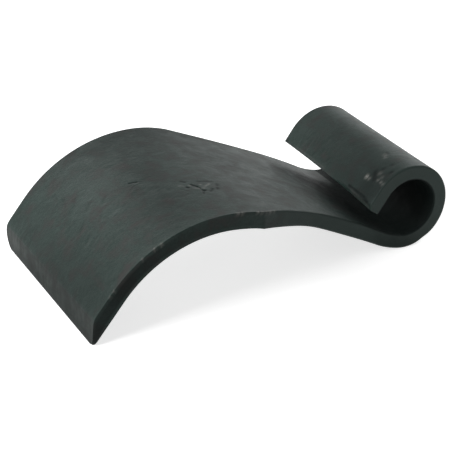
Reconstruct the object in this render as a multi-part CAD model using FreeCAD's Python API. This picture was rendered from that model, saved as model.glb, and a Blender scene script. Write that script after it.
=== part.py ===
import FreeCAD, Part
import math
import os

# Driving sizes of the bent bar, in millimetres and degrees
eye_thickness = 6.5
blade_thickness = 7.2
eye_bore = 25.0
eye_wrap_angle = 246.5
curl_end_length = 8.0
neck_bend_radius = 34.0
neck_bend_angle = 17.8
crown_radius = 310.0
crown_angle = 12.9
scoop_radius = 60.2
scoop_angle = 68.3
lip_length = 21.2

# Driving sizes of the cutting edge
bevel_length = 7.5
edge_land = 0.9
edge_corner_radius = 3.5

# Driving sizes of the outline
eye_width = 71.5
blade_width = 90.0
flare_length = 44.5
shoulder_setback = 1.5
shoulder_radius = 1.0

# Rounding left on the long edges of the bar
edge_rounding = 0.35

# Heading of the level line from the eye to the blade
level_heading = 180.0

# How far the cutting tools stand past the bar
tool_margin = 5.0

# How near two places lie when they are taken for one
same_place = 0.001


def ahead(heading):
    """Unit step along a heading, which is in degrees from +X towards +Z."""
    turn = math.radians(heading)
    return FreeCAD.Vector(math.cos(turn), 0, math.sin(turn))


def left(heading):
    """Unit step to the left of a heading, out of the bar's outer face."""
    return ahead(heading + 90)


def run(length):
    """A straight stretch of the bar."""
    return {"length": length, "turn": 0.0, "radius": None}


def bend(radius, turn):
    """A bend, with its radius on the face that holds the bore; left turns are positive."""
    return {"length": radius * math.radians(abs(turn)), "turn": turn, "radius": radius}


def curl_steps():
    """The free end of the curl and its wrap round the bore."""
    return [run(curl_end_length), bend(eye_bore / 2, -eye_wrap_angle)]


def blade_steps():
    """The scoop and the straight lip."""
    return [bend(scoop_radius, scoop_angle), run(lip_length)]


def strip_steps():
    """The bar from where it leaves the eye to its cutting edge."""
    neck = bend(neck_bend_radius, -neck_bend_angle)
    crown = bend(crown_radius, crown_angle)
    return [neck, crown] + blade_steps()


def walk(place, heading, step, share=1.0):
    """The place and heading after a share of one step."""
    if step["radius"] is None:
        return place + ahead(heading) * (step["length"] * share), heading
    side = math.copysign(1, step["turn"])
    centre = place + left(heading) * (side * step["radius"])
    new_heading = heading + step["turn"] * share
    return centre - left(new_heading) * (side * step["radius"]), new_heading


def walk_all(place, heading, steps):
    """The place and heading at the start of each step, and after the last."""
    stops = [(place, heading)]
    for step in steps:
        place, heading = walk(place, heading, step)
        stops.append((place, heading))
    return stops


def eye_exit(heading):
    """Where the bar leaves the bore's circle with this heading."""
    return left(heading) * (eye_bore / 2)


def resting_heading():
    """The heading at the eye's exit that stands the eye and the cutting edge level."""
    trial = level_heading
    place, heading = walk_all(eye_exit(trial), trial, strip_steps())[-1]
    foot = place + left(heading) * blade_thickness
    eye_radius = eye_bore / 2 + eye_thickness
    now = math.degrees(math.atan2(foot.z, foot.x)) % 360
    wanted = 180 + math.degrees(math.asin(eye_radius / foot.Length))
    return trial + wanted - now


def strip_stops():
    """The stops of the strip as it rests."""
    heading = resting_heading()
    return walk_all(eye_exit(heading), heading, strip_steps())


def curl_start():
    """The place and heading at the free end of the curl."""
    heading = resting_heading() + eye_wrap_angle
    return eye_exit(heading) - ahead(heading) * curl_end_length, heading


def step_line(place, heading, step, offset):
    """The edge that follows one step, at an offset towards the outer face."""
    points = []
    for share in (0.0, 0.5, 1.0):
        here, turned = walk(place, heading, step, share)
        points.append(here + left(turned) * offset)
    if step["radius"] is None:
        return Part.makeLine(points[0], points[2])
    return Part.Arc(*points).toShape()


def face_line(place, heading, steps, offset):
    """The edges that follow some steps, at an offset towards the outer face."""
    edges = []
    for step in steps:
        edges.append(step_line(place, heading, step, offset))
        place, heading = walk(place, heading, step)
    return edges


def arc_about(centre, start, end):
    """The shorter arc between two points that lie on one circle."""
    towards_middle = (start - centre) + (end - centre)
    middle = centre + towards_middle.normalize() * (start - centre).Length
    return Part.Arc(start, middle, end).toShape()


def tapered_lines():
    """The outer faces of the neck and the crown, along which the bar grows thicker."""
    neck_start, neck_heading = strip_stops()[0]
    scoop_start, scoop_heading = strip_stops()[2]
    neck_centre = neck_start - left(neck_heading) * neck_bend_radius
    outer_start = neck_start + left(neck_heading) * eye_thickness
    outer_end = scoop_start + left(scoop_heading) * blade_thickness
    neck_outer = neck_bend_radius + eye_thickness
    span = outer_end - neck_centre
    rise = neck_outer - span.dot(left(scoop_heading))
    crown_outer = (span.Length ** 2 - neck_outer ** 2) / (2 * rise)
    crown_centre = outer_end + left(scoop_heading) * crown_outer
    joint = neck_centre + (crown_centre - neck_centre).normalize() * neck_outer
    return [arc_about(neck_centre, outer_start, joint), arc_about(crown_centre, joint, outer_end)]


def first_point(edge):
    return edge.valueAt(edge.FirstParameter)


def last_point(edge):
    return edge.valueAt(edge.LastParameter)


def bar_section():
    """The side view of the bar: curled eye, neck, crown, scoop and bevelled edge."""
    outer = face_line(*curl_start(), curl_steps(), eye_thickness)
    outer += tapered_lines()
    outer += face_line(*strip_stops()[2], blade_steps(), blade_thickness)
    inner = face_line(*curl_start(), curl_steps() + strip_steps(), 0.0)
    end_heading = strip_stops()[-1][1]
    bevel_top = last_point(inner[-1]) - ahead(end_heading) * bevel_length
    inner[-1] = Part.makeLine(first_point(inner[-1]), bevel_top)
    foot = last_point(outer[-1])
    land_top = foot - left(end_heading) * edge_land
    bevel = Part.makeLine(bevel_top, land_top)
    land = Part.makeLine(land_top, foot)
    curl_end = Part.makeLine(first_point(outer[0]), first_point(inner[0]))
    return Part.Face(Part.Wire(inner + [bevel, land] + outer[::-1] + [curl_end]))


def bar_solid():
    """The section drawn out to the width of the blade."""
    section = bar_section()
    section.translate(FreeCAD.Vector(0, -blade_width / 2, 0))
    return section.extrude(FreeCAD.Vector(0, blade_width, 0))


def flare_place(back_from_scoop):
    """A place on the crown, measured back from where the scoop begins."""
    scoop_start, heading = strip_stops()[2]
    back = math.degrees(back_from_scoop / crown_radius)
    centre = scoop_start + left(heading) * crown_radius
    return centre - left(heading - back) * crown_radius


def flank(neck_point, shoulder_point):
    """The hollow arc that leaves the neck's side smoothly and ends at the shoulder."""
    chord = shoulder_point - neck_point
    lean = math.atan2(chord.y, chord.x)
    half_chord = chord.Length / (2 * math.cos(lean / 2))
    middle = neck_point + FreeCAD.Vector(math.cos(lean / 2), math.sin(lean / 2), 0) * half_chord
    return Part.Arc(neck_point, middle, shoulder_point).toShape()


def outline_tool():
    """A tall prism of the bar's outline, standing upright with the knife at rest."""
    reach = strip_stops()[-1][0].Length + eye_bore + blade_thickness + tool_margin
    shoulder = flare_place(shoulder_setback).dot(ahead(level_heading))
    flare_start = flare_place(shoulder_setback + flare_length).dot(ahead(level_heading))
    half_eye = eye_width / 2
    half_blade = blade_width / 2
    corners = [
        FreeCAD.Vector(-reach, half_eye, 0),
        FreeCAD.Vector(flare_start, half_eye, 0),
        FreeCAD.Vector(shoulder, half_blade, 0),
        FreeCAD.Vector(reach, half_blade, 0),
    ]
    near = [Part.makeLine(corners[0], corners[1])]
    near.append(flank(corners[1], corners[2]))
    near.append(Part.makeLine(corners[2], corners[3]))
    far = [edge.mirror(FreeCAD.Vector(0, 0, 0), FreeCAD.Vector(0, 1, 0)) for edge in near]
    front = Part.makeLine(corners[3], FreeCAD.Vector(reach, -half_blade, 0))
    back = Part.makeLine(FreeCAD.Vector(-reach, -half_eye, 0), corners[0])
    loop = Part.Wire(Part.__sortEdges__(near + [front] + far + [back]))
    tool = Part.Face(loop).extrude(FreeCAD.Vector(0, 0, 2 * reach))
    tool.translate(FreeCAD.Vector(0, 0, -reach))
    shoulders = [edge for edge in tool.Edges if stands_at(edge, shoulder, half_blade)]
    tool = tool.makeFillet(shoulder_radius, shoulders)
    tool.Placement = placed(FreeCAD.Vector(0, 0, 0), level_heading) * tool.Placement
    return tool


def stands_at(edge, along, across):
    """True for an upright edge at this distance along and to either side."""
    box = edge.BoundBox
    upright = box.XLength < same_place and box.YLength < same_place
    beside = abs(abs(box.YMax) - across) < same_place
    return upright and beside and abs(box.XMax - along) < same_place


def placed(place, heading):
    """A frame with X along the heading, Y across the bar and Z out of the outer face."""
    turn = FreeCAD.Rotation(ahead(heading), FreeCAD.Vector(0, 1, 0), left(heading), "XZY")
    return FreeCAD.Placement(place, turn)


def corner_tool(side):
    """What is cut away to round one corner of the cutting edge."""
    place, heading = strip_stops()[-1]
    tip = blade_width / 2
    radius = edge_corner_radius
    on_side = FreeCAD.Vector(-radius, tip, 0)
    on_edge = FreeCAD.Vector(0, tip - radius, 0)
    diagonal = radius * (1 - math.sqrt(0.5))
    middle = FreeCAD.Vector(-diagonal, tip - diagonal, 0)
    outside = [
        on_edge,
        FreeCAD.Vector(tool_margin, tip - radius, 0),
        FreeCAD.Vector(tool_margin, tip + tool_margin, 0),
        FreeCAD.Vector(-radius, tip + tool_margin, 0),
        on_side,
    ]
    round_off = Part.Arc(on_side, middle, on_edge).toShape()
    loop = Part.Wire([round_off] + Part.makePolygon(outside).Edges)
    depth = blade_thickness + tool_margin
    tool = Part.Face(loop).extrude(FreeCAD.Vector(0, 0, 2 * depth))
    tool.translate(FreeCAD.Vector(0, 0, -depth))
    if side < 0:
        tool = tool.mirror(FreeCAD.Vector(0, 0, 0), FreeCAD.Vector(0, 1, 0))
    tool.Placement = placed(place, heading) * tool.Placement
    return tool


def faces_sideways(face, place):
    """True where a face looks out of the bar's side."""
    return abs(face.normalAt(*face.Surface.parameter(place)).y) > 0.5


def side_edges(bar):
    """The edges where a side of the bar meets its broad faces or its ends."""
    found = []
    for edge in bar.Edges:
        middle = edge.valueAt((edge.FirstParameter + edge.LastParameter) / 2)
        faces = bar.ancestorsOfType(edge, Part.Face)
        sideways = [faces_sideways(face, middle) for face in faces]
        if sideways.count(True) == 1:
            found.append(edge)
    return found


def knife():
    """The whole knife as one bent and flared bar."""
    blank = bar_solid().common(outline_tool())
    bar = blank.cut([corner_tool(1), corner_tool(-1)]).Solids[0]
    rounding = min(edge_rounding, edge_land / 2)
    return bar.makeFillet(rounding, side_edges(bar))


os.makedirs("parts", exist_ok=True)
knife().exportStep("parts/knife.step")
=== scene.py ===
import math

import bmesh
import bpy
from bpy.props import FloatProperty, FloatVectorProperty, IntProperty, PointerProperty
from bpy.types import Operator, Panel, PropertyGroup
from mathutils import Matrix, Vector, noise


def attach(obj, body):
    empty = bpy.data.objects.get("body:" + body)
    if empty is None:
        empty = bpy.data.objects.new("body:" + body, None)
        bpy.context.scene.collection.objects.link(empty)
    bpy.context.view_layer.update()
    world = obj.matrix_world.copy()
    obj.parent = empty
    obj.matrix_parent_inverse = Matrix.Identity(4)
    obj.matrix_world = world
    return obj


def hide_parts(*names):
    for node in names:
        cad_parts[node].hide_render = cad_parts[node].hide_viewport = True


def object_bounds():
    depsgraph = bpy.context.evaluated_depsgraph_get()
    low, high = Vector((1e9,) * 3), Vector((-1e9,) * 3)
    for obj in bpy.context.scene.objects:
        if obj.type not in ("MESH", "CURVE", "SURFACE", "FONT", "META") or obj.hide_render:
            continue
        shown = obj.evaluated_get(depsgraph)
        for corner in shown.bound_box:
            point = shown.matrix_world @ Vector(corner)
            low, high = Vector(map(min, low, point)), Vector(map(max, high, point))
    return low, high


bl_info = {
    "name": "Hammer Mill Knife",
    "version": (1, 0, 0),
    "blender": (4, 5, 0),
    "location": "3D View > Sidebar > Knife",
    "description": "Dresses the packed knife: the bent bar, its coat and a plain stage",
    "category": "Object",
}

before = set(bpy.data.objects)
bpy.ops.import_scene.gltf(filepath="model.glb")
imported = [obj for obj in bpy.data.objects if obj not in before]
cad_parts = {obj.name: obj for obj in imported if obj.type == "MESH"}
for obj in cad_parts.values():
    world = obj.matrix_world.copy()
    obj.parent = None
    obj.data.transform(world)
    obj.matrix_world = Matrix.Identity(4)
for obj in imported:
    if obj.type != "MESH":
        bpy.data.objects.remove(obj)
cad_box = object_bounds()

MM = 0.001


def length(name, description, millimetres):
    """A length that a user can change, in scene units."""
    return FloatProperty(
        name=name, description=description, default=millimetres * MM, unit="LENGTH", precision=5
    )


def angle(name, description, degrees):
    """An angle that a user can change."""
    return FloatProperty(
        name=name, description=description, default=math.radians(degrees), subtype="ANGLE"
    )


def paint(name, description, red, green, blue):
    """A colour that a user can change."""
    return FloatVectorProperty(
        name=name,
        description=description,
        default=(red, green, blue),
        size=3,
        subtype="COLOR",
        min=0.0,
        max=1.0,
    )


class BarSizes(PropertyGroup):
    """Sizes of the bent bar, the same as in the part's source"""

    eye_thickness: length("Eye thickness", "Thickness of the bar at the eye", 6.5)
    blade_thickness: length("Blade thickness", "Thickness of the bar at the blade", 7.2)
    bore: length("Bore", "Diameter of the hole in the eye", 25.0)
    eye_wrap: angle("Eye wrap", "How far the bar wraps round the bore", 246.5)
    curl_end: length("Curl end", "Straight free end of the curl", 8.0)
    neck_radius: length("Neck bend radius", "Radius of the bend behind the eye", 34.0)
    neck_turn: angle("Neck bend", "Angle of the bend behind the eye", 17.8)
    crown_radius: length("Crown radius", "Radius of the long, nearly flat crown", 310.0)
    crown_turn: angle("Crown bend", "Angle of the crown", 12.9)
    scoop_radius: length("Scoop radius", "Radius of the scoop", 60.2)
    scoop_turn: angle("Scoop bend", "Angle of the scoop", 68.3)
    lip: length("Lip", "Straight end of the blade", 21.2)
    bevel: length("Bevel", "Length of the ground bevel along the lip", 8.3)
    land: length("Edge land", "Flat left at the cutting edge", 0.9)
    eye_width: length("Eye width", "Width of the eye and the neck", 71.5)
    blade_width: length("Blade width", "Width of the blade", 90.0)
    flare: length("Flare", "Length of the hollow flank", 44.5)
    shoulder_setback: length("Shoulder setback", "Shoulder's distance from the scoop", 1.5)


class BarFinish(PropertyGroup):
    """How finely the bar is meshed, and how it strays from its drawing"""

    row_gap: length("Row gap", "Distance between rows of the mesh", 0.76)
    columns: IntProperty(
        name="Columns", description="Mesh columns across the bar", default=118, min=8
    )
    rim_cuts: IntProperty(
        name="Rim cuts", description="Cuts across the bar's thickness", default=6, min=1
    )
    drawn_rounding: length("Drawn rounding", "Rounding as first meshed", 0.7)
    eye_rounding: length("Eye rounding", "Rounding of the edges of the eye and the neck", 1.0)
    blade_rounding: length("Blade rounding", "Rounding of the edges of the blade", 0.25)
    end_rounding: length("End rounding", "Rounding of the bar's two ends", 0.35)
    rounding_fade: length("Rounding fade", "Where the roundings change before the scoop", 20.0)
    rim: length("Rim", "Strip along the edges that keeps its width", 2.5)
    near_corner: length("Near corner", "Radius of the cutting edge's near corner", 2.3)
    far_corner: length("Far corner", "Radius of the cutting edge's far corner", 5.0)
    bevel_skew: length("Bevel skew", "How much longer the bevel is near, shorter far", 0.8)
    bevel_softness: length("Bevel softness", "How softly the bevel begins", 0.85)
    shoulder_draw: length("Shoulder draw", "How far the shoulders draw in", 0.9)
    shoulder_reach: length("Shoulder reach", "How far back the shoulders draw in", 13.0)
    tip_lead: length("Tip lead", "How much further the near end of the curl reaches", 2.2)
    tip_setback: length("Tip setback", "How far the rest of the curl's end falls short", 1.1)
    tip_chamfer: length("Tip chamfer", "Chamfer on the near half of the curl's end", 1.9)
    swell: length("Swell", "Height of the long, soft swells left by forging", 0.075)
    ripple: length("Ripple", "Height of the short ripples", 0.045)
    scale_marks: length("Scale marks", "Height of the creases left by scale", 0.08)
    knock_reach: length("Knock reach", "How far in from the edge a knock reaches", 1.25)
    slack: length("Slack", "How far the surface lies inside the drawn bar", 0.012)
    neck_thinning: length("Neck thinning", "How much the bar is drawn out at the neck", 0.8)
    thinnest_at: length("Thinnest at", "Where the neck is thinnest, from the eye's exit", 50.0)
    thinning_reach: length("Thinning reach", "How far the thinning spreads to either side", 13.0)


class CoatLook(PropertyGroup):
    """Colours of the coat, of its painted light and shade, and of the steel under it"""

    coat: paint("Coat", "Colour of the dark coat", 0.0150, 0.0275, 0.0235)
    pale_coat: paint("Pale coat", "Lighter patches of the coat", 0.0225, 0.0370, 0.0325)
    warm_coat: paint("Warm coat", "Browner patches of the coat", 0.0350, 0.0300, 0.0295)
    # Dark colour of the scars, and of the painted shade in the bore, the painted shadow of the curl on
    # the neck and the broad painted shades
    soot_and_shade_coat: paint("Dark coat", "Sooty coat in scars and in the bore", 0.002, 0.0045, 0.004)
    # Painted light: lighter colour on the sides of the eye and the neck, also used along the edges for
    # rubbing and a painted highlight
    side_light_and_rub_coat: paint("Side coat", "Coat on the sides of the eye and the neck", 0.036, 0.051, 0.046)
    filed: paint("Filed", "Coat over the filed bevel", 0.0215, 0.0215, 0.0205)
    worn: paint("Worn steel", "Steel where the coat has gone", 0.20, 0.20, 0.185)
    roughness: FloatProperty(
        name="Roughness", description="Mean roughness of the coat", default=0.46, min=0.0, max=1.0
    )
    gloss: FloatProperty(
        name="Gloss", description="Specular level of the coat", default=0.11, min=0.0, max=1.0
    )


class StageLook(PropertyGroup):
    """The floor, the light and the camera"""

    floor: paint("Floor", "Colour of the floor", 0.80, 0.80, 0.80)
    fill: FloatProperty(name="Fill", description="Strength of the light all round", default=0.18)
    lift: FloatProperty(name="Lift", description="Glow of the floor as it is seen", default=0.72)
    blade_lamp: FloatProperty(
        name="Blade lamp", description="Power of the lamp beyond the cutting edge", default=18.2
    )
    back_lamp: FloatProperty(
        name="Back lamp", description="Power of the lamp behind the knife", default=5.4
    )
    eye_lamp: FloatProperty(
        name="Eye lamp", description="Power of the lamp behind the eye", default=8.2
    )
    lamp_width: length("Lamp width", "Width of each square lamp", 700.0)
    lamp_distance: length("Lamp distance", "From each lamp to the knife", 1300.0)
    turn: angle("Camera azimuth", "How far the camera stands to the left", -28.107)
    rise: angle("Camera elevation", "How far the camera stands above", 28.197)
    distance: length("Camera distance", "From the camera to its target", 625.21)
    lens: FloatProperty(name="Lens", description="Focal length of the camera", default=117.924)
    target: FloatVectorProperty(
        name="Camera target",
        description="The point that the camera looks at",
        default=(-68.10 * MM, 0.0, -8.49 * MM),
        size=3,
        subtype="TRANSLATION",
    )


# The path of the bar, in the plane across the bore


def ahead(heading):
    """Unit step along a heading, measured from +X towards +Z."""
    return Vector((math.cos(heading), 0.0, math.sin(heading)))


def left(heading):
    """Unit step out of the bar's outer face."""
    return ahead(heading + math.pi / 2)


def clamped(value):
    """The value held between nought and one."""
    return min(max(value, 0.0), 1.0)


def strip_stretches(bar):
    """The bar from the eye to its edge, as length, turn and radius on the bore's side."""
    return [
        (bar.neck_radius * bar.neck_turn, -bar.neck_turn, bar.neck_radius),
        (bar.crown_radius * bar.crown_turn, bar.crown_turn, bar.crown_radius),
        (bar.scoop_radius * bar.scoop_turn, bar.scoop_turn, bar.scoop_radius),
        (bar.lip, 0.0, None),
    ]


def bar_stretches(bar):
    """The whole bar, from the free end of the curl."""
    eye = (bar.bore / 2 * bar.eye_wrap, -bar.eye_wrap, bar.bore / 2)
    return [(bar.curl_end, 0.0, None), eye] + strip_stretches(bar)


def bend_centre(place, heading, stretch):
    """The centre of a bend that starts at this place and heading."""
    return place + left(heading) * math.copysign(stretch[2], stretch[1])


def walk(place, heading, stretch, share=1.0):
    """The place and heading after a share of a stretch."""
    distance, turn, radius = stretch
    if radius is None:
        return place + ahead(heading) * (distance * share), heading
    centre = bend_centre(place, heading, stretch)
    new_heading = heading + turn * share
    return centre - left(new_heading) * math.copysign(radius, turn), new_heading


def walk_all(place, heading, stretches):
    """The place and heading at each stop along the stretches."""
    stops = [(place, heading)]
    for stretch in stretches:
        place, heading = walk(place, heading, stretch)
        stops.append((place, heading))
    return stops


def eye_exit(bar, heading):
    """Where the bar leaves the bore's circle with this heading."""
    return left(heading) * (bar.bore / 2)


def resting_heading(bar):
    """The heading at the eye's exit that stands the eye and the cutting edge level."""
    trial = math.pi
    place, heading = walk_all(eye_exit(bar, trial), trial, strip_stretches(bar))[-1]
    foot = place + left(heading) * bar.blade_thickness
    now = math.atan2(foot.z, foot.x) % (2 * math.pi)
    wanted = math.pi + math.asin((bar.bore / 2 + bar.eye_thickness) / foot.length)
    return trial + wanted - now


def eye_start(bar):
    """Where the wrap round the bore begins, measured along the bar from the eye's exit."""
    return -(bar.bore / 2 * bar.eye_wrap)


def curl_tip(bar):
    """Where the bar begins, measured along it from the eye's exit."""
    return eye_start(bar) - bar.curl_end


def scoop_start(bar):
    """Where the scoop begins, measured along the bar from the eye's exit."""
    return bar.neck_radius * bar.neck_turn + bar.crown_radius * bar.crown_turn


def bar_length(bar):
    """Length of the strip from the eye to the cutting edge, on the bore's side."""
    return sum(stretch[0] for stretch in strip_stretches(bar))


def path_stops(bar):
    """Where each stretch begins: its distance along the bar, place, heading and itself."""
    heading = resting_heading(bar) + bar.eye_wrap
    place = eye_exit(bar, heading) - ahead(heading) * bar.curl_end
    along = curl_tip(bar)
    stops = []
    for stretch in bar_stretches(bar):
        stops.append((along, place, heading, stretch))
        place, heading = walk(place, heading, stretch)
        along += stretch[0]
    return stops


def place_at(stops, along):
    """The place and heading at a distance along the bar, which runs straight on past its ends."""
    found = stops[0]
    for stop in stops[1:]:
        if along < stop[0]:
            break
        found = stop
    start, place, heading, stretch = found
    return walk(place, heading, stretch, (along - start) / stretch[0])


def thickness_at(bar, finish, along):
    """The bar's thickness, which grows along the crown and was drawn out a little before it."""
    crown = bar.crown_radius * bar.crown_turn
    still_to_go = clamped((scoop_start(bar) - along) / crown)
    from_thinnest = (along - finish.thinnest_at) / finish.thinning_reach
    thinned = finish.neck_thinning * math.exp(-(from_thinnest ** 2))
    taper = (bar.blade_thickness - bar.eye_thickness) * still_to_go ** 2
    return bar.blade_thickness - taper - thinned


# The knife's mesh, with notes on each point: how far it lies along the bar, how deep between the two
# broad faces, how far from the nearest edge and how much it is ground, then how much bare steel shows
# and how dark the coat is, from its scars and from painted shade and shadow
SHAPE_MARKS = ("along", "depth", "arris", "ground")
COAT_MARKS = ("worn", "dark")


def first_row(bm, bar, finish, place):
    """A row of edges right across the bar, at the free end of the curl."""
    half = bar.blade_width / 2
    ends = [bm.verts.new(place + Vector((0.0, side * half, 0.0))) for side in (-1, 1)]
    edge = bm.edges.new(ends)
    bmesh.ops.subdivide_edges(bm, edges=[edge], cuts=finish.columns - 1)
    return bm.edges[:]


def draw_row(bm, row, place, heading, stretch, rows):
    """Draws a row of edges along a stretch and returns the last one."""
    distance, turn, radius = stretch
    if radius is None:
        for _ in range(rows):
            made = bmesh.ops.extrude_edge_only(bm, edges=row)["geom"]
            points = [item for item in made if isinstance(item, bmesh.types.BMVert)]
            bmesh.ops.translate(bm, verts=points, vec=ahead(heading) * (distance / rows))
            row = [item for item in made if isinstance(item, bmesh.types.BMEdge)]
        return row
    made = bmesh.ops.spin(
        bm,
        geom=row,
        cent=bend_centre(place, heading, stretch),
        axis=(0.0, -1.0, 0.0),
        dvec=(0.0, 0.0, 0.0),
        angle=turn,
        steps=rows,
        use_merge=False,
        use_duplicate=False,
    )["geom_last"]
    return [item for item in made if isinstance(item, bmesh.types.BMEdge)]


def distance_in(point, place, heading, stretch):
    """How far along a stretch a point of the sheet lies."""
    distance, turn, radius = stretch
    if radius is None:
        return (point - place).dot(ahead(heading))
    centre = bend_centre(place, heading, stretch)
    start = place - centre
    here = Vector((point.x, 0.0, point.z)) - centre
    swept = math.atan2(here.z, here.x) - math.atan2(start.z, start.x)
    swept = (swept * math.copysign(1.0, turn)) % (2 * math.pi)
    return radius * swept


def bore_side(bm, bar, finish):
    """The face of the bar that holds the bore, drawn as one long sheet."""
    along = bm.verts.layers.float["along"]
    stops = path_stops(bar)
    row = first_row(bm, bar, finish, stops[0][1])
    for point in bm.verts:
        point[along] = stops[0][0]
    for travelled, place, heading, stretch in stops:
        known = len(bm.verts)
        rows = max(2, round(stretch[0] / finish.row_gap))
        row = draw_row(bm, row, place, heading, stretch, rows)
        bm.verts.ensure_lookup_table()
        for point in bm.verts[known:]:
            point[along] = travelled + distance_in(point.co, place, heading, stretch)


# An edge of the drawn bar counts as sharp beyond this angle
SHARP_EDGE = math.radians(50)


def give_thickness(bm, bar, finish):
    """Thickens the sheet to a bar, divides its rim and rounds its edges."""
    depth = bm.verts.layers.float["depth"]
    bm.normal_update()
    crown_start, heading = place_at(path_stops(bar), bar.neck_radius * bar.neck_turn)
    first = min(bm.faces, key=lambda face: (face.calc_center_median() - crown_start).length)
    if first.normal.dot(left(heading)) > 0:
        bmesh.ops.reverse_faces(bm, faces=bm.faces[:])
    known = len(bm.verts)
    bmesh.ops.solidify(bm, geom=bm.faces[:], thickness=bar.blade_thickness)
    bm.verts.ensure_lookup_table()
    for point in bm.verts[known:]:
        point[depth] = 1.0
    rungs = [edge for edge in bm.edges if edge.calc_length() > 0.9 * bar.blade_thickness]
    bmesh.ops.subdivide_edges(bm, edges=rungs, cuts=finish.rim_cuts, use_grid_fill=True)
    bm.normal_update()
    arrises = [edge for edge in bm.edges if edge.calc_face_angle(0.0) > SHARP_EDGE]
    bmesh.ops.bevel(
        bm,
        geom=arrises,
        offset=finish.drawn_rounding,
        offset_type="OFFSET",
        segments=3,
        profile=0.5,
        affect="EDGES",
        clamp_overlap=True,
        material=-1,
    )


def flare_reaches(bar, stops):
    """The level distances from the eye's middle at which the flank starts and ends."""
    shoulder = scoop_start(bar) - bar.shoulder_setback
    return [-place_at(stops, along)[0].x for along in (shoulder - bar.flare, shoulder)]


def half_width(bar, flare_start, shoulder, reach):
    """Half the bar's width at a level distance from the eye's middle."""
    half_eye = bar.eye_width / 2
    half_blade = bar.blade_width / 2
    if reach <= flare_start:
        return half_eye
    if reach >= shoulder:
        return half_blade
    rise = half_blade - half_eye
    radius = ((shoulder - flare_start) ** 2 + rise ** 2) / (2 * rise)
    return half_eye + radius - math.sqrt(radius ** 2 - (reach - flare_start) ** 2)


def shifted(distance, drawn, wanted, rim):
    """Moves the end of a rounding from where it was drawn to where it is wanted."""
    if distance <= drawn:
        return distance * wanted / drawn
    if distance >= rim:
        return distance
    return wanted + (distance - drawn) * (rim - wanted) / (rim - drawn)


def edge_corner(bar, finish, here, across):
    """Draws a point near an end of the cutting edge in to the rounded corner."""
    radius = finish.near_corner if across < 0.0 else finish.far_corner
    over = Vector((
        here - (bar_length(bar) - radius),
        abs(across) - (bar.blade_width / 2 - radius),
    ))
    if over.x > 0.0 and over.y > 0.0:
        over *= max(over) / over.length
        here = bar_length(bar) - radius + over.x
        across = math.copysign(bar.blade_width / 2 - radius + over.y, across)
    return here, across


# The curl's end swings forward towards the near side by this power, and its chamfer begins at
# this share of the width and is full after the next
TIP_SWING = 2.5
CHAMFER_START = 0.55
CHAMFER_RAMP = 0.4


def curl_end_shape(bar, finish, here, across, share):
    """Skews the free end of the curl and chamfers its near half."""
    near = clamped((bar.eye_width / 2 - across) / bar.eye_width)
    ramp = clamped((eye_start(bar) - here) / bar.curl_end)
    lead = finish.tip_lead * near ** TIP_SWING - finish.tip_setback
    from_tip = here - curl_tip(bar)
    width = finish.tip_chamfer * clamped((near - CHAMFER_START) / CHAMFER_RAMP)
    if share > 0.5 and from_tip < width:
        share -= (share - 0.5) * 2.0 * (width - from_tip) / bar.eye_thickness
    return here - lead * ramp, share


def ground_share(bar, finish, here, across, share):
    """Takes the top of the lip down to the narrow land at the cutting edge."""
    bevel = bar.bevel - finish.bevel_skew * across / (bar.blade_width / 2)
    past = bevel - (bar_length(bar) - here)
    softness = finish.bevel_softness
    soft_past = softness * math.log1p(math.exp(min(past / softness, 50.0)))
    drop = (1.0 - bar.land / bar.blade_thickness) * soft_past / bevel
    return share + (1.0 - share) * drop, clamped(0.5 + past / softness)


def blade_share(bar, finish, here):
    """Nought along the eye and the neck, one from where the scoop begins."""
    return clamped(1.0 + (here - scoop_start(bar)) / finish.rounding_fade)


def rounding_at(bar, finish, here):
    """The rounding of the long edges, wide at the eye and narrow at the blade."""
    narrower = (finish.blade_rounding - finish.eye_rounding) * blade_share(bar, finish, here)
    return finish.eye_rounding + narrower


def width_beside(bar, finish, reaches, here, level):
    """Half the bar's width, with the shoulders drawn in a little."""
    past_shoulder = here - scoop_start(bar) + bar.shoulder_setback
    drawn_in = 1.0 - clamped(past_shoulder / finish.shoulder_reach)
    draw = finish.shoulder_draw * blade_share(bar, finish, here) * drawn_in ** 2
    return half_width(bar, *reaches, level) - draw


def laid_across(bar, finish, half, inward):
    """How far from the middle a point goes that was drawn this far in from the side."""
    if inward < finish.rim:
        return half - inward
    half_blade = bar.blade_width / 2
    return (half_blade - inward) * (half - finish.rim) / (half_blade - finish.rim)


def lay_points(bm, bar, finish):
    """Lays the drawn points on the tapered, flared, rounded and ground bar."""
    layers = bm.verts.layers.float
    along, depth, arris, ground = (layers[name] for name in SHAPE_MARKS)
    stops = path_stops(bar)
    reaches = flare_reaches(bar, stops)
    tip, edge = curl_tip(bar), bar_length(bar)
    drawn, rim = finish.drawn_rounding, finish.rim
    for point in bm.verts:
        here = point[along]
        rounding = rounding_at(bar, finish, here)
        inward = shifted(bar.blade_width / 2 - abs(point.co.y), drawn, rounding, rim)
        through = min(point[depth], 1.0 - point[depth]) * bar.blade_thickness
        through = shifted(through, drawn, rounding, rim)
        from_end = shifted(min(here - tip, edge - here), drawn, finish.end_rounding, rim)
        here = tip + from_end if here - tip < edge - here else edge - from_end
        share = through / bar.blade_thickness
        share = 1.0 - share if point[depth] > 0.5 else share
        point[along], point[depth] = here, share
        point[arris] = math.hypot(min(inward, from_end), through)
        place, heading = place_at(stops, here)
        level = -(place + left(heading) * (share * thickness_at(bar, finish, here))).x
        half = width_beside(bar, finish, reaches, here, level)
        across = math.copysign(laid_across(bar, finish, half, inward), point.co.y)
        here, across = edge_corner(bar, finish, here, across)
        if here < eye_start(bar):
            here, share = curl_end_shape(bar, finish, here, across, share)
        if here > edge - bar.lip:
            share, point[ground] = ground_share(bar, finish, here, across, share)
        place, heading = place_at(stops, here)
        point.co = place + left(heading) * (share * thickness_at(bar, finish, here))
        point.co.y = across


def soft_noise(point, size):
    """Smooth noise between 0 and 1 whose lumps have this size."""
    return 0.5 + 0.5 * noise.noise(point / size)


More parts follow.
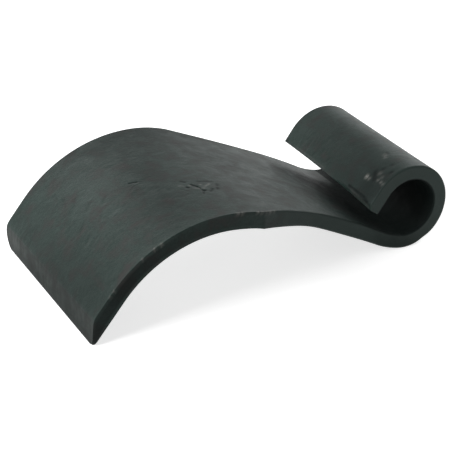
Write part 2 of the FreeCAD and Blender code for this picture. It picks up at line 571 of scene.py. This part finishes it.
# Scars on the face that holds the bore, each a stroke: along and across at its start and at its
# end, its width and its depth in millimetres, how dark it is and how much steel shows
TOP_SCARS = [
    (96.8, -15.4, 95.3, -17.9, 0.50, 0.24, 0.95, 0.0),
    (95.3, -17.9, 94.8, -19.9, 0.40, 0.16, 0.75, 0.0),
    (99.4, -16.7, 98.9, -17.4, 0.60, 0.26, 0.80, 0.0),
    (94.7, -21.6, 93.8, -22.1, 0.60, 0.26, 0.80, 0.0),
    (94.3, -21.9, 95.9, -24.6, 0.55, 0.12, 0.45, 0.0),
    (92.9, -13.8, 87.6, -14.8, 0.80, 0.12, 0.34, 0.0),
    (92.2, -23.4, 90.4, -21.6, 0.85, 0.20, 0.50, 0.0),
    (86.2, -17.5, 86.9, -19.0, 0.80, 0.14, 0.36, 0.0),
    (87.8, -21.0, 88.4, -22.1, 0.75, 0.18, 0.46, 0.0),
    (99.2, -11.3, 98.1, -12.5, 0.60, 0.12, 0.50, 0.0),
    (116.5, 1.5, 113.7, -0.2, 0.40, 0.14, 0.80, 0.0),
    (113.7, -0.2, 112.2, -1.5, 0.35, 0.06, 0.35, 0.0),
    (97.8, -15.8, 97.5, -16.3, 0.55, 0.0, 0.0, 0.34),
    (93.2, -16.3, 93.0, -16.9, 0.60, 0.0, 0.0, 0.28),
    (92.1, -18.6, 89.3, -16.7, 0.50, 0.0, 0.0, 0.34),
    (97.2, -18.5, 95.4, -19.9, 0.50, 0.0, 0.0, 0.26),
    (93.6, -19.5, 93.3, -20.0, 0.60, 0.0, 0.0, 0.30),
    (101.4, -14.3, 100.6, -14.9, 0.60, 0.0, 0.0, 0.20),
    (100.2, -15.4, 99.8, -15.9, 0.45, 0.0, 0.0, 0.20),
    (142.2, 27.5, 142.8, 24.0, 0.80, 0.14, 0.12, 0.0),
    (140.6, 20.5, 141.4, 16.5, 0.80, 0.14, 0.12, 0.0),
    (137.4, 14.5, 139.0, 11.0, 0.80, 0.14, 0.10, 0.0),
    (134.0, 5.5, 136.5, 3.0, 0.80, 0.12, 0.10, 0.0),
    (127.0, 2.5, 129.5, -0.5, 0.80, 0.12, 0.08, 0.0),
    (141.6, -2.5, 144.5, -4.0, 0.80, 0.14, 0.10, 0.0),
    (143.0, -10.5, 145.5, -12.0, 0.80, 0.14, 0.12, 0.0),
]
# The same on the outer face, round the eye
EYE_SCARS = [
    (-52.7, -23.5, -52.6, -24.0, 0.62, 0.16, 0.0, 0.85),
    (-52.8, -25.5, -52.5, -26.0, 0.56, 0.14, 0.0, 0.32),
    (-51.6, -30.4, -51.6, -30.8, 0.48, 0.12, 0.0, 0.34),
    (-51.7, -32.6, -51.6, -33.0, 0.50, 0.14, 0.0, 0.38),
    (-51.9, -34.2, -51.7, -34.7, 0.54, 0.12, 0.0, 0.22),
    (-49.8, -28.4, -49.7, -28.9, 0.80, 0.12, 0.0, 0.20),
    (-50.5, -31.0, -50.4, -31.4, 0.70, 0.10, 0.0, 0.18),
    (-43.8, -19.4, -44.8, -22.2, 0.70, 0.06, 0.0, 0.26),
    (-43.0, -19.0, -43.6, -20.0, 0.60, 0.08, 0.30, 0.0),
    (-51.9, -28.6, -50.3, -26.2, 0.90, 0.10, 0.34, 0.0),
    (-47.8, -32.8, -47.6, -33.1, 0.75, 0.12, 0.40, 0.0),
    (-45.7, -29.0, -45.6, -29.4, 0.75, 0.10, 0.30, 0.0),
    (-48.2, -28.1, -48.1, -28.5, 0.70, 0.10, 0.28, 0.0),
    (-36.8, -26.3, -36.2, -28.4, 0.50, 0.14, 0.65, 0.0),
    (-59.5, -17.5, -59.4, -29.5, 0.50, 0.10, 0.90, 0.0),
    (-59.4, -29.5, -60.0, -32.5, 0.60, 0.08, 0.60, 0.0),
    (-60.5, -20.0, -61.2, -33.5, 0.65, 0.0, 0.0, 0.10),
    (-60.9, 26.5, -60.3, 2.0, 0.55, 0.0, 0.0, 0.10),
    (-60.0, 34.4, -60.6, 33.4, 0.60, 0.05, 0.80, 0.0),
]
# Broad soft painted shades, darker patches in the coat that stand in for shade: depth, along and
# across, their reaches and how dark
PAINTED_SHADES = [
    (0.0, 113.0, 37.0, 17.0, 13.0, 0.34),
    (0.0, 92.0, 31.0, 12.0, 16.0, 0.22),
    (0.0, 74.0, 16.0, 15.0, 22.0, 0.30),
    (0.0, 84.0, 40.0, 60.0, 5.0, 0.20),
    (0.0, 158.0, -20.0, 16.0, 32.0, 0.22),
    (0.0, 173.0, -24.0, 9.0, 36.0, 0.62),
    (0.0, 173.0, 24.0, 8.0, 28.0, 0.50),
    (0.0, 81.5, -48.0, 15.5, 60.0, 0.41),
    (0.0, 158.5, 13.5, 6.5, 60.0, 0.18),
    (0.0, 112.5, -24.5, 12.5, 29.5, 0.43),
    (0.0, 151.0, -35.5, 13.0, 18.0, 0.18),
    (0.0, 105.0, 12.0, 11.5, 25.0, 0.33),
    (0.0, 78.0, 50.0, 16.5, 19.5, 0.28),
    (0.0, 59.0, -10.0, 10.0, 60.0, 0.20),
    (1.0, -52.0, -10.0, 11.0, 60.0, 0.42),
    (1.0, -53.0, -30.0, 6.0, 16.0, 0.25),
    (1.0, -70.0, -31.0, 36.0, 8.5, 0.18),
    (1.0, -43.5, 16.0, 6.0, 60.0, 0.22),
    (1.0, -62.0, -21.0, 6.0, 22.0, 0.30),
    (0.5, 2.0, -36.0, 14.0, 60.0, 0.48),
    (0.5, 55.0, -38.0, 22.0, 60.0, 0.10),
    (0.5, 95.0, -45.0, 70.0, 60.0, 0.13),
    (0.5, 152.0, -45.0, 42.0, 60.0, 0.66),
]
# Painted shadow of the curl on the neck behind the eye, and painted shade along the neck: how dark,
# where it ends along the bar and over what length it fades, the same across the bar, and the share of
# it left beyond
PAINTED_CURL_SHADOW = [
    (0.50, 64.0, 34.0, 27.0, 10.0, 0.3),
    (0.42, 30.0, 16.0, 27.0, 14.0, 0.0),
]
# Knocks on the near side's edges: along, reach along, depth and how much steel shows
TOP_KNOCKS = [
    (91.4, 0.9, 0.04, 0.7),
    (89.4, 0.8, 0.05, 0.6),
    (82.1, 0.5, 0.25, 1.0),
    (80.0, 0.9, 0.03, 0.7),
    (77.5, 0.6, 0.03, 0.4),
    (75.4, 1.1, 0.03, 0.7),
    (72.9, 0.7, 0.03, 0.5),
    (125.3, 0.8, 0.14, 0.8),
    (128.4, 0.6, 0.08, 0.6),
    (134.5, 0.5, 0.06, 0.4),
    (150.6, 0.7, 0.20, 0.4),
    (153.2, 0.5, 0.08, 0.4),
]
OUTER_KNOCKS = [(-8.8, 1.9, 0.5, 0.0)]
# Spots that are meshed finer: depth, from and to along, from and to across, and cuts
FINE_SPOTS = [
    (0.0, 84.0, 103.0, -27.0, -9.0, 2),
    (0.0, 111.0, 118.5, -3.5, 3.5, 2),
    (1.0, -62.0, -34.0, -45.0, -21.0, 1),
]


def mesh_finer(bm):
    """Divides the mesh again where small scars are pressed in."""
    along = bm.verts.layers.float["along"]
    depth = bm.verts.layers.float["depth"]
    for level, start, end, low, high, cuts in FINE_SPOTS:
        spot = {
            point
            for point in bm.verts
            if abs(point[depth] - level) < 0.01
            and start < point[along] / MM < end
            and low < point.co.y / MM < high
        }
        edges = [edge for edge in bm.edges if edge.verts[0] in spot and edge.verts[1] in spot]
        bmesh.ops.subdivide_edges(bm, edges=edges, cuts=cuts, use_grid_fill=True)


def nearness(along_mm, across_mm, scar):
    """One on a scar's stroke, falling to nought beyond its width."""
    start_along, start_across, end_along, end_across, width = scar[:5]
    stroke = Vector((end_along - start_along, end_across - start_across))
    offset = Vector((along_mm - start_along, across_mm - start_across))
    share = clamped(offset.dot(stroke) / stroke.length_squared)
    gap = (offset - stroke * share).length / width
    return math.exp(-gap * gap) if gap < 3.0 else 0.0


def scarred(scars, along_mm, across_mm):
    """Depth in millimetres, darkness and bare steel at a place."""
    deep = dark = bare = 0.0
    for scar in scars:
        near = nearness(along_mm, across_mm, scar)
        depth, soot, steel = scar[5:]
        deep += depth * near
        dark = max(dark, soot * near)
        bare = max(bare, steel * near)
    return deep, dark, bare


def knocked(knocks, along_mm):
    """Depth in millimetres and bare steel along an edge."""
    deep = bare = 0.0
    for place, reach, depth, steel in knocks:
        near = math.exp(-(((along_mm - place) / reach) ** 2))
        deep += depth * near
        bare = max(bare, steel * near)
    return deep, bare


def eased(value):
    """The value held between nought and one, leaving and arriving softly."""
    share = clamped(value)
    return share * share * (3.0 - 2.0 * share)


def painted_bore_and_crease_shade(along_mm, across_mm):
    """How dark the painted shade in the bore and the painted shadow in the crease behind it are."""
    if along_mm < 0.0:
        return 1.0
    total = 0.0
    for dark, end, fade, side, side_fade, left_over in PAINTED_CURL_SHADOW:
        beside = left_over + (1.0 - left_over) * eased((side - across_mm) / side_fade)
        total += dark * eased((end - along_mm) / fade) * beside
    return total


def painted_shade_at(level, along_mm, across_mm):
    """How dark the broad painted shades are at a place."""
    total = 0.0
    for depth, place, side, reach_along, reach_across, dark in PAINTED_SHADES:
        if depth == level:
            ahead_of = (along_mm - place) / reach_along
            beside = (across_mm - side) / reach_across
            total += dark * math.exp(-ahead_of * ahead_of - beside * beside)
    return total


# Sizes of what forging leaves: long and short swells, ripples, creases and their patches
LONG_SWELL = 15.0 * MM
SHORT_SWELL = 6.0 * MM
RIPPLE = 1.9 * MM
CREASE = 3.2 * MM
CREASE_PATCH = 13.0 * MM
# Ripples and creases are drawn out along the bar, so their noise is squeezed by this
SQUEEZE = 0.6
# How narrow a crease is within its lump of noise, and how sharply its patches end
CREASE_NARROWNESS = 6.0
PATCH_SHARPNESS = 4.0


def roughness_of_forging(finish, place):
    """How deep the swells, ripples and creases are at a place."""
    swell = soft_noise(place, LONG_SWELL) * 0.6 + soft_noise(place, SHORT_SWELL) * 0.4
    lengthened = Vector((place.x * SQUEEZE, place.y, place.z))
    ripple = soft_noise(lengthened, RIPPLE)
    crease = 1.0 - abs(noise.noise(lengthened / CREASE)) * CREASE_NARROWNESS
    patch = clamped(noise.noise(place / CREASE_PATCH) * PATCH_SHARPNESS)
    crease = max(crease, 0.0) * patch
    return finish.swell * swell + finish.ripple * ripple + finish.scale_marks * crease


# The share of a painted shade on the outer face that is left at the very edge
EDGE_SHADE = 0.2
# This share of the thickness under each broad face belongs to that face
FACE_SKIN = 0.1
# How much further apart the lumps of the two broad faces lie than the faces themselves
FACES_APART = 3.0


def face_level(share):
    """Nought on the face that holds the bore, one on the outer face, a half between them."""
    if share < FACE_SKIN:
        return 0.0
    return 1.0 if share > 1.0 - FACE_SKIN else 0.5


def work_surface(bm, bar, finish):
    """Presses the marks of forging, scars and knocks into the bar, always inwards, and notes the bare
    steel, the dark scars and the painted shade and shadow on each point.
    """
    layers = bm.verts.layers.float
    along, depth, arris, _ = (layers[name] for name in SHAPE_MARKS)
    worn, dark = (layers[name] for name in COAT_MARKS)
    bm.normal_update()
    moves = []
    for point in bm.verts:
        lump = Vector((point[along], point.co.y, point[depth] * bar.blade_thickness * FACES_APART))
        press = roughness_of_forging(finish, lump) * clamped(point[arris] / finish.rim)
        press += finish.slack
        along_mm = point[along] / MM
        across_mm = point.co.y / MM
        level = face_level(point[depth])
        top = point[depth] < 0.5
        if across_mm < 0.0:
            deep, bare = knocked(TOP_KNOCKS if top else OUTER_KNOCKS, along_mm)
            at_edge = clamped(1.0 - point[arris] / finish.knock_reach)
            point[worn] = bare * at_edge
            press += deep * at_edge * MM
        if level != 0.5:
            scars = TOP_SCARS if top else EYE_SCARS
            deep, point[dark], bare = scarred(scars, along_mm, across_mm)
            point[worn] = max(point[worn], bare)
            press += deep * MM
        # Painted shade in the bore and painted shadow of the curl on the neck
        if level == 0.0:
            point[dark] = max(point[dark], painted_bore_and_crease_shade(along_mm, across_mm))
        # Broad painted shade, faded towards the edges on the outer face
        shade = painted_shade_at(level, along_mm, across_mm)
        if level == 1.0:
            shade *= clamped(point[arris] / finish.eye_rounding + EDGE_SHADE)
        point[dark] = min(point[dark] + shade, 1.0)
        moves.append(point.normal * -press)
    for point, move in zip(bm.verts, moves):
        point.co += move


class KNIFE_OT_bar(Operator):
    """Makes the bent bar of the knife and gives it its coat"""

    bl_idname = "knife.bar"
    bl_label = "Bent Bar"

    def execute(self, context):
        bar = context.scene.knife_bar
        finish = context.scene.knife_finish
        bm = bmesh.new()
        for name in SHAPE_MARKS + COAT_MARKS:
            bm.verts.layers.float.new(name)
        bore_side(bm, bar, finish)
        give_thickness(bm, bar, finish)
        mesh_finer(bm)
        lay_points(bm, bar, finish)
        work_surface(bm, bar, finish)
        bm.normal_update()
        mesh = bpy.data.meshes.new("bent_bar")
        bm.to_mesh(mesh)
        bm.free()
        mesh.shade_smooth()
        mesh.materials.append(coated_steel(context.scene.knife_coat))
        piece = bpy.data.objects.new("bent_bar", mesh)
        context.scene.collection.objects.link(piece)
        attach(piece, "root")
        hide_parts("knife")
        return {"FINISHED"}


# The coat


def add(tree, kind, **settings):
    """Adds a shader node with these settings."""
    node = tree.nodes.new(kind)
    for name, value in settings.items():
        setattr(node, name, value)
    return node


def lumps(tree, coords, scale, detail=4.0, roughness=0.55, distortion=0.0):
    """Noise over the piece, with this many lumps to the metre."""
    node = add(tree, "ShaderNodeTexNoise")
    node.inputs["Scale"].default_value = scale
    node.inputs["Detail"].default_value = detail
    node.inputs["Roughness"].default_value = roughness
    node.inputs["Distortion"].default_value = distortion
    tree.links.new(coords, node.inputs["Vector"])
    return node.outputs["Fac"]


def spread(tree, source, low, high, to_low=0.0, to_high=1.0):
    """Stretches a value from one range to another, smoothly and clamped."""
    node = add(tree, "ShaderNodeMapRange", interpolation_type="SMOOTHSTEP", clamp=True)
    node.inputs["From Min"].default_value = low
    node.inputs["From Max"].default_value = high
    node.inputs["To Min"].default_value = to_low
    node.inputs["To Max"].default_value = to_high
    tree.links.new(source, node.inputs["Value"])
    return node.outputs["Result"]


def blend(tree, factor, first, second):
    """Mixes two colours, each a colour or a socket."""
    node = add(tree, "ShaderNodeMix", data_type="RGBA")
    tree.links.new(factor, node.inputs["Factor"])
    for name, value in (("A", first), ("B", second)):
        socket = next(s for s in node.inputs if s.name == name and s.type == "RGBA")
        if isinstance(value, bpy.types.NodeSocket):
            tree.links.new(value, socket)
        else:
            socket.default_value = (*value, 1.0)
    return next(s for s in node.outputs if s.type == "RGBA")


def sums(tree, operation, first, second):
    """Works on two values, each a number or a socket."""
    node = add(tree, "ShaderNodeMath", operation=operation)
    for socket, value in zip(node.inputs, (first, second)):
        if isinstance(value, bpy.types.NodeSocket):
            tree.links.new(value, socket)
        else:
            socket.default_value = value
    return node.outputs[0]


def mark(tree, name):
    """A mark that was noted on the mesh."""
    return add(tree, "ShaderNodeAttribute", attribute_name=name).outputs["Fac"]


def drawn_out(tree, coords, along):
    """Coordinates in which noise is drawn out along the bar."""
    split = add(tree, "ShaderNodeSeparateXYZ")
    tree.links.new(coords, split.inputs[0])
    joined = add(tree, "ShaderNodeCombineXYZ")
    tree.links.new(sums(tree, "MULTIPLY", along, 0.85), joined.inputs[0])
    tree.links.new(split.outputs[1], joined.inputs[1])
    tree.links.new(sums(tree, "MULTIPLY", mark(tree, "depth"), 7.0 * MM), joined.inputs[2])
    return joined.outputs[0]


def facing_sideways(tree):
    """How far a surface faces across the bar."""
    split = add(tree, "ShaderNodeSeparateXYZ")
    tree.links.new(add(tree, "ShaderNodeTexCoord").outputs["Normal"], split.inputs[0])
    return sums(tree, "ABSOLUTE", split.outputs[1], 0.0)


# Where the painted light on the sides of the eye and the neck begins and is full, along the bar
SIDE_LIGHT_SPAN = (85.0 * MM, 55.0 * MM)


def coat_colour(tree, look, coords, patches, grain):
    """Mottled coat, lighter on the sides of the eye and the neck as painted light, filed on the bevel,
    sooty in the scars and darkened by painted shade and shadow, lighter along the edges where the coat
    is worn by rubbing and a highlight is painted, and worn to bare steel at knocks and scars.
    """
    clouds = lumps(tree, coords, 60.0, 5.0, 0.6, 0.5)
    mottle = sums(tree, "ADD", sums(tree, "MULTIPLY", clouds, 0.5), sums(tree, "MULTIPLY", grain, 0.5))
    coat = blend(tree, spread(tree, mottle, 0.40, 0.60), look.coat, look.pale_coat)
    coat = blend(tree, spread(tree, patches, 0.44, 0.74, 0.0, 0.75), coat, look.warm_coat)
    # Painted light: the sides of the eye and the neck are lighter towards the eye
    side = spread(tree, facing_sideways(tree), 0.05, 0.55)
    high = spread(tree, mark(tree, "along"), *SIDE_LIGHT_SPAN, 0.0, 0.85)
    coat = blend(tree, sums(tree, "MULTIPLY", side, high), coat, look.side_light_and_rub_coat)
    filed = sums(tree, "MULTIPLY", mark(tree, "ground"), spread(tree, grain, 0.30, 0.65, 0.2, 0.8))
    coat = blend(tree, filed, coat, look.filed)
    # Dark scars, and painted shade and shadow, from the dark mark
    coat = blend(tree, mark(tree, "dark"), coat, look.soot_and_shade_coat)
    # Lighter coat along the edges: partly rubbing, partly a painted highlight on the rounded edges
    near_edge = spread(tree, mark(tree, "arris"), 0.8 * MM, 0.2 * MM, 0.0, 0.2)
    rub_and_edge_highlight = sums(tree, "MULTIPLY", near_edge, spread(tree, patches, 0.42, 0.62))
    coat = blend(tree, rub_and_edge_highlight, coat, look.side_light_and_rub_coat)
    bare = sums(tree, "MULTIPLY", mark(tree, "worn"), spread(tree, grain, 0.35, 0.6, 0.5, 1.0))
    return blend(tree, bare, coat, look.worn)


def coarseness(tree):
    """How strong the fine relief is: less on the neck and the lip, least on the filed bevel."""
    along = mark(tree, "along")
    scoop = spread(tree, along, 60.0 * MM, 110.0 * MM, 0.75, 1.25)
    lip = spread(tree, along, 145.0 * MM, 160.0 * MM, 1.0, 0.8)
    filed = spread(tree, mark(tree, "ground"), 0.3, 0.9, 1.0, 0.35)
    return sums(tree, "MULTIPLY", sums(tree, "MULTIPLY", scoop, lip), filed)


def coat_relief(tree, coords, grain):
    """Fine relief: streaks drawn out along the bar, grain and pits."""
    flow = drawn_out(tree, coords, mark(tree, "along"))
    streaks = lumps(tree, flow, 420.0, 5.0, 0.68, 0.6)
    pits = lumps(tree, coords, 2700.0, 2.0, 0.5)
    height = sums(tree, "ADD", streaks, sums(tree, "MULTIPLY", grain, 0.42))
    height = sums(tree, "ADD", height, sums(tree, "MULTIPLY", pits, 0.22))
    bump = add(tree, "ShaderNodeBump")
    bump.inputs["Strength"].default_value = 0.7
    bump.inputs["Distance"].default_value = 0.16 * MM
    tree.links.new(sums(tree, "MULTIPLY", height, coarseness(tree)), bump.inputs["Height"])
    return bump.outputs["Normal"]


def coated_steel(look):
    """Dark satin coat over steel, mottled, with painted light on the sides and painted shade and
    shadow, and worn along its edges.
    """
    material = bpy.data.materials.new("dark_satin_coat")
    material.use_nodes = True
    tree = material.node_tree
    tree.nodes.clear()
    coords = add(tree, "ShaderNodeTexCoord").outputs["Object"]
    patches = lumps(tree, coords, 125.0, 5.0, 0.6, 0.4)
    grain = lumps(tree, coords, 1150.0, 4.0, 0.62)
    dull = spread(tree, patches, 0.3, 0.7, look.roughness - 0.06, look.roughness + 0.08)
    dull = sums(tree, "ADD", dull, sums(tree, "MULTIPLY", mark(tree, "dark"), 0.26))
    shader = add(tree, "ShaderNodeBsdfPrincipled")
    shader.inputs["Specular IOR Level"].default_value = look.gloss
    tree.links.new(coat_colour(tree, look, coords, patches, grain), shader.inputs["Base Color"])
    tree.links.new(dull, shader.inputs["Roughness"])
    tree.links.new(coat_relief(tree, coords, grain), shader.inputs["Normal"])
    out = add(tree, "ShaderNodeOutputMaterial")
    tree.links.new(shader.outputs[0], out.inputs["Surface"])
    return material


# The stage


def seen_directly(tree):
    """One for rays from the camera, a mirror or glass, nought for other rays."""
    path = add(tree, "ShaderNodeLightPath")
    seen = sums(tree, "MAXIMUM", path.outputs["Is Camera Ray"], path.outputs["Is Glossy Ray"])
    return sums(tree, "MAXIMUM", seen, path.outputs["Is Transmission Ray"])


def floor_material(look):
    """A pale matt floor that shows as white outside the object's shadow."""
    material = bpy.data.materials.new("pale_floor")
    material.use_nodes = True
    tree = material.node_tree
    tree.nodes.clear()
    matt = add(tree, "ShaderNodeBsdfDiffuse")
    matt.inputs["Color"].default_value = (*look.floor, 1.0)
    glow = add(tree, "ShaderNodeEmission")
    lift = sums(tree, "MULTIPLY", seen_directly(tree), look.lift)
    tree.links.new(lift, glow.inputs["Strength"])
    both = add(tree, "ShaderNodeAddShader")
    tree.links.new(matt.outputs[0], both.inputs[0])
    tree.links.new(glow.outputs[0], both.inputs[1])
    clear = add(tree, "ShaderNodeBsdfTransparent")
    one_sided = add(tree, "ShaderNodeMixShader")
    below = add(tree, "ShaderNodeNewGeometry").outputs["Backfacing"]
    tree.links.new(below, one_sided.inputs[0])
    tree.links.new(both.outputs[0], one_sided.inputs[1])
    tree.links.new(clear.outputs[0], one_sided.inputs[2])
    out = add(tree, "ShaderNodeOutputMaterial")
    tree.links.new(one_sided.outputs[0], out.inputs["Surface"])
    return material


def white_room(scene, look):
    """A soft even light all round, seen as white."""
    world = bpy.data.worlds.new("white_room")
    scene.world = world
    world.use_nodes = True
    tree = world.node_tree
    tree.nodes.clear()
    glow = add(tree, "ShaderNodeBackground")
    seen = seen_directly(tree)
    strength = sums(tree, "MULTIPLY", seen, 1.0 - look.fill)
    strength = sums(tree, "ADD", strength, look.fill)
    tree.links.new(strength, glow.inputs["Strength"])
    glow.inputs["Color"].default_value = (1.0, 1.0, 1.0, 1.0)
    out = add(tree, "ShaderNodeOutputWorld")
    tree.links.new(glow.outputs[0], out.inputs["Surface"])


def standing_at(turn, rise):
    """Unit step towards something that stands at this turn round the knife and this rise."""
    flat = math.cos(rise)
    return Vector((math.sin(turn) * flat, -math.cos(turn) * flat, math.sin(rise)))


# Each lamp's name, its turn round the knife and its rise above the floor, in degrees
LAMPS = (("blade_lamp", -90.0, 30.0), ("back_lamp", 180.0, 12.0), ("eye_lamp", 120.0, 30.0))


def soft_lamp(scene, look, name, turn, rise, power):
    """A square soft lamp at a turn and a rise in degrees, facing the knife."""
    data = bpy.data.lights.new(name, "AREA")
    data.shape = "SQUARE"
    data.size = look.lamp_width
    data.energy = power
    lamp = bpy.data.objects.new(name, data)
    scene.collection.objects.link(lamp)
    back = standing_at(math.radians(turn), math.radians(rise))
    lamp.location = (cad_box[0] + cad_box[1]) / 2 + back * look.lamp_distance
    lamp.rotation_mode = "QUATERNION"
    lamp.rotation_quaternion = (-back).to_track_quat("-Z", "Y")


def photo_camera(scene, look):
    """The camera, at the photograph's angle."""
    data = bpy.data.cameras.new("camera")
    data.sensor_width = 36.0
    data.lens = look.lens
    data.clip_start = 0.01
    data.clip_end = 50.0
    camera = bpy.data.objects.new("camera", data)
    scene.collection.objects.link(camera)
    back = standing_at(look.turn, look.rise)
    camera.location = Vector(look.target) + back * look.distance
    camera.rotation_mode = "QUATERNION"
    camera.rotation_quaternion = (-back).to_track_quat("-Z", "Y")
    scene.camera = camera


class KNIFE_OT_stage(Operator):
    """Makes the floor, the soft lamps, the white room and the camera"""

    bl_idname = "knife.stage"
    bl_label = "Stage"

    def execute(self, context):
        scene = context.scene
        look = scene.knife_stage
        bm = bmesh.new()
        bmesh.ops.create_grid(bm, x_segments=1, y_segments=1, size=4.0)
        bmesh.ops.translate(bm, verts=bm.verts, vec=(0.0, 0.0, cad_box[0].z))
        mesh = bpy.data.meshes.new("floor")
        bm.to_mesh(mesh)
        bm.free()
        mesh.materials.append(floor_material(look))
        floor = bpy.data.objects.new("floor", mesh)
        scene.collection.objects.link(floor)
        white_room(scene, look)
        for name, turn, rise in LAMPS:
            soft_lamp(scene, look, name, turn, rise, getattr(look, name))
        photo_camera(scene, look)
        scene.view_settings.view_transform = "Standard"
        return {"FINISHED"}


class KNIFE_PT_panel(Panel):
    """The knife and its stage, in the sidebar"""

    bl_label = "Hammer Mill Knife"
    bl_space_type = "VIEW_3D"
    bl_region_type = "UI"
    bl_category = "Knife"

    def draw(self, context):
        scene = context.scene
        groups = (scene.knife_bar, scene.knife_finish, scene.knife_coat, scene.knife_stage)
        for maker in (KNIFE_OT_bar, KNIFE_OT_stage):
            self.layout.operator(maker.bl_idname)
        for group in groups:
            box = self.layout.box()
            for name in group.__annotations__:
                box.prop(group, name)


CLASSES = (
    BarSizes,
    BarFinish,
    CoatLook,
    StageLook,
    KNIFE_OT_bar,
    KNIFE_OT_stage,
    KNIFE_PT_panel,
)


def register():
    """Registers the classes and their settings."""
    for cls in CLASSES:
        bpy.utils.register_class(cls)
    bpy.types.Scene.knife_bar = PointerProperty(type=BarSizes)
    bpy.types.Scene.knife_finish = PointerProperty(type=BarFinish)
    bpy.types.Scene.knife_coat = PointerProperty(type=CoatLook)
    bpy.types.Scene.knife_stage = PointerProperty(type=StageLook)


def unregister():
    """Takes the settings and the classes away again."""
    del bpy.types.Scene.knife_stage
    del bpy.types.Scene.knife_coat
    del bpy.types.Scene.knife_finish
    del bpy.types.Scene.knife_bar
    for cls in reversed(CLASSES):
        bpy.utils.unregister_class(cls)


def main():
    """Makes the stage and the knife."""
    register()
    bpy.ops.knife.stage()
    bpy.ops.knife.bar()
    bpy.context.view_layer.update()


if __name__ == "__main__":
    main()
